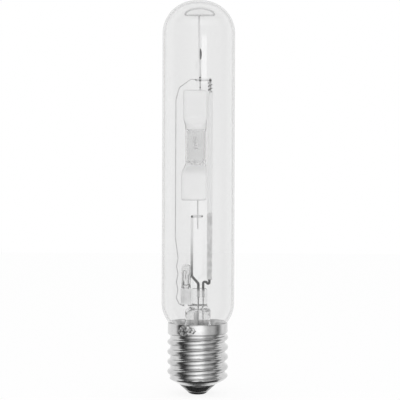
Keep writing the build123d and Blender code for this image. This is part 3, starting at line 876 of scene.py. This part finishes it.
@dataclass
class ScrewCap:
    """The screw cap: shell, insulator, contact, solder and cement."""

    wall: float = 0.45
    top: float = 46.0
    collar_radius: float = 19.35
    collar_foot: float = 40.0
    groove_top: float = 38.8
    collar_lead: float = 0.5
    support_row: float = 0.3
    pitch: float = 6.35
    crest: float = 19.65
    root: float = 17.72
    first_crest: float = 11.3
    run_in: float = 2.0
    blend_power: int = 6
    thread_steps: int = 120
    collar_steps: int = 6
    cone_top: float = 9.6
    mouth_height: float = 6.6
    mouth_radius: float = 12.0
    mouth_bends: Pair = (0.4, 0.2)
    rim_drop: float = 0.5
    rim_lip: float = 0.15
    rim_bends: Pair = (0.0, 0.2)
    sides: int = 192
    spot_height: float = 42.6
    spot_angle: float = -112.0
    spot_half_width: float = 5.2
    spot_half_height: float = 3.2
    spot_rise: float = 1.45
    spot_sink: float = 0.1
    spot_edge_lumps: Tuple[Pair, ...] = ((0.3, 1.7), (0.12, 5.0))
    spot_face_lumps: Tuple[Pair, ...] = ((0.5, 3.1), (0.3, 6.5))

    def ridge(self, radius: float, height: float, angle: float) -> float:
        """Return the shell's radius with its thread.

        Args:
            radius: the plain shell's radius there.
            height: the height in the lamp's frame.
            angle: the turn about the lamp's axis, in radians.

        Returns:
            The radius on the thread, or the plain one above and below it.
        """
        if not self.cone_top < height < self.collar_foot:
            return radius
        depth = self.crest - self.root
        half = self.pitch / 2
        bend = (half**2 + depth**2) / (4 * depth)
        turns = (height - self.first_crest) / self.pitch - angle / math.tau
        away = abs(turns - round(turns)) * self.pitch
        if away < half / 2:
            wave = depth - bend + math.sqrt(bend**2 - away**2)
        else:
            wave = bend - math.sqrt(bend**2 - (half - away) ** 2)
        below = depth * (height - self.cone_top) / self.run_in
        share = (self.collar_foot - height) / (self.collar_foot - self.groove_top)
        above = between(self.collar_radius - self.root, depth + self.collar_lead, share)
        room = min(below, above)
        power = self.blend_power
        eased = (wave**-power + room**-power) ** (-1 / power) if wave > 0 and room > 0 else 0.0
        return self.root + max(radius - self.root, eased)

    def outline(self) -> Outline:
        """Draw the plain shell's section.

        Returns:
            (radius, height) points from its rim down to its mouth.
        """
        thread = straight((self.root, self.cone_top), (self.root, self.groove_top), self.thread_steps)
        collar_start = (self.collar_radius, self.collar_foot)
        thread += straight((self.root, self.groove_top), collar_start, self.collar_steps)[1:]
        foot = rounded(
            [(self.mouth_radius - self.wall, self.mouth_height), (self.mouth_radius, self.mouth_height),
             thread[0], thread[1]],
            self.mouth_bends,
        )
        rim = rounded(
            [thread[-1], (self.collar_radius, self.collar_foot + self.support_row),
             (self.collar_radius, self.top - self.rim_drop), (self.collar_radius - self.rim_lip, self.top)],
            self.rim_bends,
        )
        return rim[::-1] + thread[1:-1][::-1] + foot[:-1][::-1]

    def build_shell(self, shop: Shop) -> None:
        """Make the thin shell with its rounded thread.

        Args:
            shop: what makes the piece.
        """
        mesh = turned(self.outline(), self.sides)
        for vert in mesh.verts:
            angle = math.atan2(vert.co.y, vert.co.x)
            radius = math.hypot(vert.co.x, vert.co.y)
            grown = self.ridge(radius, vert.co.z, angle)
            vert.co.x *= grown / radius
            vert.co.y *= grown / radius
        bmesh.ops.recalc_face_normals(mesh, faces=mesh.faces)
        outward = sum(face.normal.dot(face.calc_center_median()) * face.calc_area() for face in mesh.faces)
        if outward < 0:
            bmesh.ops.reverse_faces(mesh, faces=mesh.faces)
        bmesh.ops.solidify(mesh, geom=mesh.faces, thickness=self.wall)
        shop.piece(mesh, "cap_screw_shell", Finish.NICKEL, ["cap_shell"], sharp_above=50.0)

    def build_spot(self, shop: Shop) -> None:
        """Make the lumpy solder spot on the collar.

        Args:
            shop: what makes the piece.
        """
        mesh = bmesh.new()
        bmesh.ops.create_icosphere(mesh, subdivisions=5, radius=1.0)
        turn = math.radians(self.spot_angle)
        for vert in mesh.verts:
            spread = 1.0 + lumps(vert.co, self.spot_edge_lumps)
            across = vert.co.y * self.spot_half_width * spread
            up = vert.co.z * self.spot_half_height * spread
            rise = vert.co.x * self.spot_rise * (1.0 + lumps(vert.co, self.spot_face_lumps))
            angle = turn + across / self.collar_radius
            radius = self.collar_radius - self.spot_sink + rise
            vert.co = Vector((radius * math.cos(angle), radius * math.sin(angle), self.spot_height + up))
        bmesh.ops.recalc_face_normals(mesh, faces=mesh.faces)
        shop.piece(mesh, "collar_solder_spot", Finish.SOLDER, ["side_solder"], sharp_above=80.0)

    def build(self, shop: Shop) -> None:
        """Make every piece of the cap.

        Args:
            shop: what makes the pieces.
        """
        self.build_shell(shop)
        self.build_spot(shop)
        shop.smoothed("cap_insulator", Finish.BLACK_GLASS, sharp_above=50.0)
        shop.smoothed("centre_contact", Finish.SHADED_CONTACT, sharp_above=50.0)
        shop.smoothed("contact_solder", Finish.SOLDER)
        shop.smoothed("cap_cement", Finish.CEMENT)


@dataclass
class Stem:
    """The glass stem with its flare, press and exhaust tube."""

    wall: float = 1.0
    radius: float = 8.2
    press_x: float = 1.15
    press_width: float = 9.7
    press_thickness: float = 4.8
    press_squareness: float = 4.5
    press_bottom: float = 58.0
    press_top: float = 68.2
    press_steps: int = 10
    press_rounding: Tuple[Point, ...] = ((0.9, 0.0, 4.5), (0.3, 0.25, 4.5), (0.0, 0.9, 4.0))
    inner_dome: Tuple[Pair, ...] = ((0.4, 1.6), (3.5, 1.4), (6.2, 0.7))
    shoulder: float = 53.4
    flare_start: float = 46.0
    waist_radius: float = 11.6
    waist: float = 38.0
    mouth_radius: float = 14.2
    flare_bend: float = 8.0
    rim_radius: float = 16.41
    rim_top: float = 26.0
    rim_bottom: float = 24.8

    def flare(self, inset: float, foot: float) -> Outline:
        """Return the flare's section from the straight tube down to its foot.

        Args:
            inset: how far inside the outer face it lies.
            foot: the height at which it ends.

        Returns:
            (radius, height) points.
        """
        return rounded(
            [(self.radius - inset, self.shoulder), (self.radius - inset, self.flare_start),
             (self.waist_radius - inset, self.waist), (self.mouth_radius - inset, foot)],
            [self.flare_bend, self.flare_bend],
        )

    def press_ring(self, drop: float, inset: float, squareness: float) -> Ring:
        """Return a ring of the press, this far below its top and inside its faces."""
        half_x, half_y = self.press_width / 2 - inset, self.press_thickness / 2 - inset
        return Ring(self.press_top - drop, half_x, half_y, squareness, self.press_x)

    def build(self, shop: Shop) -> None:
        """Make the stem as one moulded wall that ends in the press.

        Args:
            shop: what makes the pieces.
        """
        inner = [(radius, self.shoulder + rise) for radius, rise in self.inner_dome]
        inner += self.flare(self.wall, self.rim_bottom)
        rim = [(self.rim_radius, self.rim_bottom), (self.rim_radius, self.rim_top)]
        rings = level_rings(inner + rim + self.flare(0.0, self.rim_top)[::-1])
        press = self.press_ring(self.press_top - self.press_bottom, 0.0, self.press_squareness)
        tube = rings[-1]
        rings += [tube.toward(press, share / self.press_steps) for share in range(1, self.press_steps + 1)]
        rings += [self.press_ring(*step) for step in self.press_rounding]
        shop.piece(drawn(rings), "stem_pressed_glass", Finish.STEM, ["glass_stem"], sharp_above=60.0)
        shop.smoothed("exhaust_tube", Finish.EXHAUST)


@dataclass
class ArcTube:
    """The fused silica arc tube, pinched flat at both ends, with its electrodes and foils."""

    x: float = -1.7
    radius: float = 6.75
    wall: float = 1.3
    low: float = 146.4
    high: float = 174.6
    cover: float = 2.6
    blend: float = 7.5
    blend_steps: int = 12
    body_steps: int = 50
    sides: int = 96
    pinch_half: float = 2.3
    pinch_squareness: float = 5.0
    pinch_rounding: Tuple[Pair, ...] = ((0.0, 1.2), (0.25, 0.55), (0.8, 0.12), (1.6, 0.0))
    lower_x: float = -2.9
    lower_half: float = 8.1
    lower_end: float = 124.9
    upper_x: float = -2.2
    upper_half: float = 7.75
    upper_end: float = 196.1
    nib_height: float = 160.0
    nib_rise: float = 1.9
    nib_width: float = 1.3

    def end_rings(self, end: float, inward: int, half: float, x: float) -> List[Ring]:
        """Return the rounded end of a pinch.

        Args:
            end: the height of its face.
            inward: 1 where the pinch goes up from its face, -1 where it goes down.
            half: half its width.
            x: its middle.

        Returns:
            Its rings, from the face inwards.
        """
        return [
            Ring(end + inward * setback, half - inset, self.pinch_half - inset, self.pinch_squareness, x)
            for setback, inset in self.pinch_rounding
        ]

    def outside(self) -> List[Ring]:
        """Draw the tube's outer face.

        Returns:
            Its rings from the lower pinch's face to the upper one's.
        """
        low = self.low + self.cover
        high = self.high - self.cover
        foot = Ring(low, self.radius, self.radius, ROUND, self.x)
        head = Ring(high, self.radius, self.radius, ROUND, self.x)
        pinch = (self.pinch_half, self.pinch_squareness)
        lower = Ring(low - self.blend, self.lower_half, *pinch, self.lower_x)
        upper = Ring(high + self.blend, self.upper_half, *pinch, self.upper_x)
        blend = [share / self.blend_steps for share in range(self.blend_steps + 1)]
        rings = self.end_rings(self.lower_end, 1, self.lower_half, self.lower_x)
        rings += [lower.toward(foot, share) for share in blend]
        rings += [foot.toward(head, share / self.body_steps) for share in range(1, self.body_steps)]
        rings += [head.toward(upper, share) for share in blend]
        return rings + self.end_rings(self.upper_end, -1, self.upper_half, self.upper_x)[::-1]

    def build(self, shop: Shop) -> None:
        """Make the tube's outside, its nib and its hollow, and dress what is sealed into it.

        Args:
            shop: what makes the pieces.
        """
        mesh = drawn(self.outside(), self.sides)
        for vert in mesh.verts:
            away = math.hypot(vert.co.x - self.x, vert.co.z - self.nib_height)
            if vert.co.y > 0:
                vert.co.y += self.nib_rise * math.exp(-((away / self.nib_width) ** 2))
        bore = self.radius - self.wall
        hollow = arc((0.0, self.high - bore), bore, 90.0, 0.0, count=16)
        hollow += arc((0.0, self.low + bore), bore, 0.0, -90.0, count=16)
        add(mesh, spun(hollow, self.sides, (self.x, 0.0)), inside_out=True)
        shop.piece(mesh, "arc_tube_silica", Finish.COATED, ["arc_tube"], sharp_above=60.0)
        for node in ("upper_foil", "lower_foil", "upper_arc_lead", "lower_arc_lead"):
            shop.smoothed(node, Finish.MOLYBDENUM)
        for node in ("upper_electrode", "lower_electrode", "upper_electrode_coil", "lower_electrode_coil"):
            shop.smoothed(node, Finish.TUNGSTEN)


@dataclass
class Mount:
    """The wires that carry the arc tube, and the sleeves on the frame rod."""

    rod_x: float = 7.45
    rod_y: float = 0.75
    quartz_bore: float = 1.0
    quartz_radius: float = 1.7
    quartz_bottom: float = 116.7
    quartz_top: float = 194.5
    braid_bottom: float = 73.6
    braid_top: float = 116.6
    braid_radius: float = 1.42
    braid_lay: float = 9.0
    braid_inset: float = 0.3
    braid_turn_steps: int = 32
    strand_radius: float = 0.24
    strand_flatness: float = 1.5
    strand_lift: float = 0.09
    strands: int = 8
    getter_shift: float = 0.35
    getter_fullness: float = 0.72
    getter_taper: float = 0.7
    bead_lump: float = 0.3
    bead_fineness: float = 1.8

    def build_getter(self, shop: Shop) -> None:
        """Make the getter strip, which thins towards both ends and lies close to the top wire.

        Args:
            shop: what makes the piece.
        """
        mesh = node_copy("getter")
        bmesh.ops.subdivide_edges(mesh, edges=mesh.edges, cuts=5, use_grid_fill=True)
        heights = [vert.co.z for vert in mesh.verts]
        left = min(vert.co.x for vert in mesh.verts)
        middle = (max(heights) + min(heights)) / 2
        half = (max(heights) - min(heights)) / 2
        for vert in mesh.verts:
            away = abs(vert.co.z - middle) / half
            share = self.getter_fullness * (1.0 - self.getter_taper * away**2)
            vert.co.x = left - self.getter_shift * MM + (vert.co.x - left) * share
        shop.piece(mesh, "getter_strip", Finish.GETTER, ["getter"], unit=1.0)

    def build_quartz(self, shop: Shop) -> None:
        """Make the clear sleeve, with fire-rounded ends.

        Args:
            shop: what makes the piece.
        """
        middle = (self.quartz_bore + self.quartz_radius) / 2
        half = (self.quartz_radius - self.quartz_bore) / 2
        outline = arc((middle, self.quartz_top - half), half, 180.0, 0.0, count=8)
        outline += arc((middle, self.quartz_bottom + half), half, 0.0, -180.0, count=8)
        mesh = spun(outline + outline[:1], 48, (self.rod_x, self.rod_y))
        shop.piece(mesh, "quartz_sleeve_tube", Finish.SILICA, ["quartz_sleeve"], sharp_above=60.0)

    def strand(self, index: int, hand: int) -> Mesh:
        """Return one strand of the braid, which passes over and under the others.

        Args:
            index: its number round the braid.
            hand: 1 or -1, the way that it winds.

        Returns:
            Its mesh, about the lamp's own axis.
        """
        mesh = bmesh.new()
        bmesh.ops.create_circle(mesh, segments=6, radius=1.0, cap_ends=False)
        for vert in mesh.verts:
            flat = self.strand_flatness * self.strand_radius * vert.co.y
            thick = self.strand_radius * vert.co.x
            vert.co = Vector((self.braid_radius + thick, 0.0, self.braid_bottom + self.braid_inset + flat))
        length = self.braid_top - self.braid_bottom - 2 * self.braid_inset
        turns = length / self.braid_lay
        steps = math.ceil(turns * self.braid_turn_steps)
        start = math.tau * index / self.strands
        bmesh.ops.rotate(mesh, verts=mesh.verts, cent=(0, 0, 0), matrix=Matrix.Rotation(start, 3, "Z"))
        bmesh.ops.spin(mesh, geom=mesh.verts[:] + mesh.edges[:], axis=(0, 0, 1), cent=(0, 0, 0),
                       dvec=(0, 0, length / steps), angle=hand * math.tau * turns,
                       steps=steps, use_merge=False)
        for vert in mesh.verts:
            angle = math.atan2(vert.co.y, vert.co.x)
            lift = 1.0 + hand * self.strand_lift * math.cos(self.strands * angle)
            vert.co.x *= lift
            vert.co.y *= lift
        bmesh.ops.recalc_face_normals(mesh, faces=mesh.faces)
        return mesh

    def build_braid(self, shop: Shop) -> None:
        """Make the woven sleeve from strands wound both ways.

        Args:
            shop: what makes the piece.
        """
        mesh = bmesh.new()
        for index in range(self.strands):
            for hand in (1, -1):
                add(mesh, self.strand(index, hand))
        bmesh.ops.translate(mesh, verts=mesh.verts, vec=(self.rod_x, self.rod_y, 0.0))
        shop.piece(mesh, "braided_sleeve_weave", Finish.BRAID, ["braided_sleeve"], sharp_above=80.0)

    def build_welds(self, shop: Shop) -> None:
        """Make the beads of metal where wires are welded.

        Args:
            shop: what makes the piece.
        """
        welds = {
            "bend of the short support wire": ((-3.9, -0.7, 114.4), 0.75),
            "lower lead on the short support wire": ((-0.3, -1.1, 114.7), 0.5),
            "end of the short support wire": ((2.3, -0.2, 114.7), 0.7),
            "upper lead on the bridge": ((0.97, -0.9, 202.4), 0.6),
            "foot of the top wire": ((0.9, -0.5, 204.2), 0.6),
            "flying lead on the bridge": ((-1.9, -0.1, 202.9), 0.4),
            "frame rod on the bridge": ((7.5, -0.2, 202.6), 0.8),
            "upper lead over its pinch": ((1.0, -0.75, 197.9), 0.5),
        }
        mesh = bmesh.new()
        for number, (place, size) in enumerate(welds.values()):
            bead = bmesh.new()
            bmesh.ops.create_icosphere(bead, subdivisions=3, radius=size)
            for vert in bead.verts:
                own_place = vert.co * self.bead_fineness + Vector((number, 0.0, 0.0))
                vert.co *= 1.0 + self.bead_lump * noise.noise(own_place)
            bmesh.ops.translate(bead, verts=bead.verts, vec=place)
            add(mesh, bead)
        shop.piece(mesh, "weld_beads", Finish.WELD)

    def build(self, shop: Shop) -> None:
        """Make the sleeves and dress the wires.

        Args:
            shop: what makes the pieces.
        """
        self.build_quartz(shop)
        self.build_braid(shop)
        self.build_welds(shop)
        for node in ("short_support_wire", "frame_rod", "top_bridge", "top_wire", "dome_ring"):
            shop.smoothed(node, Finish.STEEL)
        shop.smoothed("flying_lead", Finish.MOLYBDENUM)
        for node in ("contact_lead", "shell_lead", "rod_tie"):
            shop.smoothed(node, Finish.DARK_STEEL)
        self.build_getter(shop)


@dataclass
class Starter:
    """The small glow starter beside the press."""

    x: float = -7.6
    y: float = -2.4
    radius: float = 3.05
    wall: float = 0.55
    top: float = 84.0
    round_bottom: float = 70.0
    pinch_top: float = 68.3
    pinch_bottom: float = 59.0
    pinch_half: float = 1.3
    pinch_squareness: float = 5.0
    pinch_rounding: float = 0.4
    blend_steps: int = 6
    tip_angle: float = 86.0
    hollow_bottom: float = 70.2
    hollow_bend: float = 1.0

    def pinch_ring(self, height: float, inset: float = 0.0) -> Ring:
        """Return a ring of the flat pinch, this far inside its faces."""
        half_x, half_y = self.radius - inset, self.pinch_half - inset
        return Ring(height, half_x, half_y, self.pinch_squareness, self.x, self.y)

    def build(self, shop: Shop) -> None:
        """Make the capsule and dress what it holds.

        Args:
            shop: what makes the pieces.
        """
        flat = self.pinch_ring(self.pinch_top)
        body = Ring(self.round_bottom, self.radius, self.radius, ROUND, self.x, self.y)
        rings = [
            self.pinch_ring(self.pinch_bottom, self.pinch_rounding),
            self.pinch_ring(self.pinch_bottom + self.pinch_rounding),
        ]
        rings += [flat.toward(body, share / self.blend_steps) for share in range(self.blend_steps + 1)]
        shoulder = self.top - self.radius
        rings += level_rings(arc((0.0, shoulder), self.radius, 0.0, self.tip_angle), self.x, self.y)
        mesh = drawn(rings)
        bore = self.radius - self.wall
        bend = self.hollow_bend
        hollow = arc((0.0, shoulder), bore, 90.0, 0.0)
        hollow += arc((bore - bend, self.hollow_bottom + bend), bend, 0.0, -90.0, count=6)
        hollow.append((0.0, self.hollow_bottom))
        add(mesh, spun(hollow, 64, (self.x, self.y)), inside_out=True)
        shop.piece(mesh, "starter_capsule_glass", Finish.STEM, ["starter_glass"], sharp_above=60.0)
        shop.smoothed("starter_ferrule", Finish.SHEET)
        for node in ("starter_left_lead", "starter_right_lead", "starter_bimetal"):
            shop.smoothed(node, Finish.DARK_STEEL)


@dataclass
class Tent:
    """The dark studio with its softboxes, which only glass and metal reflect.

    Its angles are in degrees from the lamp's middle: turn is 0 towards the camera and grows to its
    right, and rise is 0 level with the lamp's middle.
    """

    radius: float = 1.0
    height: float = 0.13
    open_behind: float = 0.3
    closed_below: float = -0.5
    dark: float = 0.06
    left_wall: Pair = (-94.0, -74.0)
    right_wall: Pair = (78.0, 112.0)
    walls_foot: Pair = (-50.0, -47.0)
    box_left: Pair = (-61.0, 4.0)
    box_right: Pair = (56.0, 92.0)
    box_rise: Band = (-60.0, 34.0, 14.0)
    box_level: float = 1.5
    dimming: Pair = (6.0, 46.0)
    dimmed: float = 0.38
    bar_rise: Band = (6.0, 19.0, 5.0)
    bar_depth: float = 0.9
    window_turn: Band = (10.0, 24.0, 1.5)
    window_rise: Band = (13.2, 17.5, 0.5)
    window_level: float = 2.4

    def level(self, recipe: Recipe) -> Term:
        """Return how bright the tent is.

        Args:
            recipe: what it is built in.

        Returns:
            The level, by the direction from the lamp.
        """
        x, y, z = recipe.axes()
        turn = x.angle_from(y * -1.0)
        rise = z.angle_from((x * x + y * y).root())
        walls = turn.step(*self.left_wall, 1.0, 0.0) + turn.step(*self.right_wall)
        walls = (1.0 - self.dark) * walls * rise.step(*self.walls_foot)
        box = turn.step(*self.box_left) * turn.step(*self.dimming, 1.0, self.dimmed)
        box = box * turn.step(*self.box_right, 1.0, 0.0) * rise.band(*self.box_rise)
        box = box * (self.box_level - self.bar_depth * rise.band(*self.bar_rise))
        window = turn.band(*self.window_turn) * rise.band(*self.window_rise)
        return self.dark + walls + box + self.window_level * window

    def build(self) -> None:
        """Make the tent, open behind the lamp, and keep it from every ray but reflected ones."""
        mesh = bmesh.new()
        bmesh.ops.create_uvsphere(mesh, u_segments=64, v_segments=32, radius=self.radius)
        middles = {face: face.calc_center_median() for face in mesh.faces}
        behind = [
            face for face, middle in middles.items()
            if middle.y > self.open_behind * self.radius and middle.z > self.closed_below
        ]
        bmesh.ops.delete(mesh, geom=behind, context="FACES")
        tent = placed(mesh, "studio_tent")
        material, recipe = new_material("studio_tent")
        glow = recipe.glow(recipe.grey(self.level(recipe)), 1.0)
        bounced = recipe.term("ShaderNodeLightPath", "Diffuse Depth").step(0.0, 1.0)
        recipe.finish(recipe.mixed(bounced, glow, recipe.socket("ShaderNodeBsdfTransparent")))
        tent.data.materials.append(material)
        tent.location = (0.0, 0.0, self.height)
        tent.visible_camera = False
        tent.visible_transmission = False
        tent.visible_diffuse = False
        tent.visible_shadow = False


@dataclass
class Studio:
    """The white backdrop, the floor, the soft light and the camera."""

    camera_x: float = 0.0012
    camera_distance: float = 0.6
    camera_height: float = 0.109
    sensor: float = 36.0
    lens: float = 83.46
    shift_up: float = 0.0625
    roll: float = -0.23
    aim_height: float = 0.13
    floor_size: float = 3.0
    floor_span: Pair = (0.78, 0.82)
    floor_glow: float = 1.02
    floor_glow_share: float = 0.85
    box_place: Point = (0.1, -1.0, 0.35)
    box_size: Pair = (0.5, 1.2)
    box_radiance: float = 1.0
    bounces: int = 24
    reflections: int = 12

    def build_world(self) -> None:
        """Make the world a plain white."""
        world = bpy.data.worlds.new("white_studio")
        bpy.context.scene.world = world
        world.use_nodes = True
        recipe = Recipe(world.node_tree)
        white = recipe.socket("ShaderNodeBackground", {"Color": WHITE, "Strength": 1.0})
        recipe.finish(white, "ShaderNodeOutputWorld")

    def build_floor(self) -> None:
        """Make the pale floor, which keeps a faint shadow."""
        mesh = bmesh.new()
        bmesh.ops.create_grid(mesh, x_segments=1, y_segments=1, size=self.floor_size)
        floor = placed(mesh, "floor")
        material, recipe = new_material("pale_floor")
        paper = recipe.noise(300.0, 4.0).step(0.0, 1.0, *self.floor_span)
        lit = recipe.socket("ShaderNodeBsdfDiffuse", {"Color": recipe.grey(paper)})
        camera = recipe.term("ShaderNodeLightPath", "Is Camera Ray")
        through = recipe.term("ShaderNodeLightPath", "Is Transmission Ray")
        share = camera.larger(through) * self.floor_glow_share
        recipe.finish(recipe.mixed(share, lit, recipe.glow(WHITE, self.floor_glow)))
        floor.data.materials.append(material)
        floor.visible_glossy = False

    def build_softbox(self) -> None:
        """Add the soft light in front, which faces the lamp's middle."""
        width, height = self.box_size
        light = bpy.data.lights.new("front_softbox", "AREA")
        light.shape = "RECTANGLE"
        light.size = width
        light.size_y = height
        light.energy = self.box_radiance * math.pi * width * height
        box = bpy.data.objects.new("front_softbox", light)
        away = Vector(self.box_place) - Vector((0.0, 0.0, self.aim_height))
        box.location = self.box_place
        box.rotation_euler = away.to_track_quat("Z", "Y").to_euler()
        box.visible_glossy = False
        box.visible_transmission = False
        bpy.context.scene.collection.objects.link(box)

    def build_camera(self) -> None:
        """Place the camera that matches the photograph."""
        camera = bpy.data.cameras.new("photo_camera")
        camera.sensor_width = self.sensor
        camera.lens = self.lens
        camera.shift_y = self.shift_up
        view = bpy.data.objects.new("photo_camera", camera)
        view.location = (self.camera_x, -self.camera_distance, self.camera_height)
        view.rotation_euler = (math.pi / 2, math.radians(self.roll), 0.0)
        bpy.context.scene.collection.objects.link(view)
        bpy.context.scene.camera = view

    def build(self) -> None:
        """Make the whole stage and set how light is followed."""
        self.build_world()
        Tent().build()
        self.build_floor()
        self.build_softbox()
        self.build_camera()
        scene = bpy.context.scene
        scene.view_settings.view_transform = "Standard"
        scene.cycles.max_bounces = self.bounces
        scene.cycles.transmission_bounces = self.bounces
        scene.cycles.glossy_bounces = self.reflections
        scene.cycles.transparent_max_bounces = self.bounces


def main() -> None:
    """Build the lamp and its stage."""
    logging.basicConfig(level=logging.INFO, format="%(message)s")
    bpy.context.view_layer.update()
    shop = Shop()
    for assembly in (Bulb(), ScrewCap(), Stem(), ArcTube(), Mount(), Starter()):
        LOG.info("building the %s", type(assembly).__name__)
        assembly.build(shop)
    Studio().build()


if __name__ == "__main__":
    main()
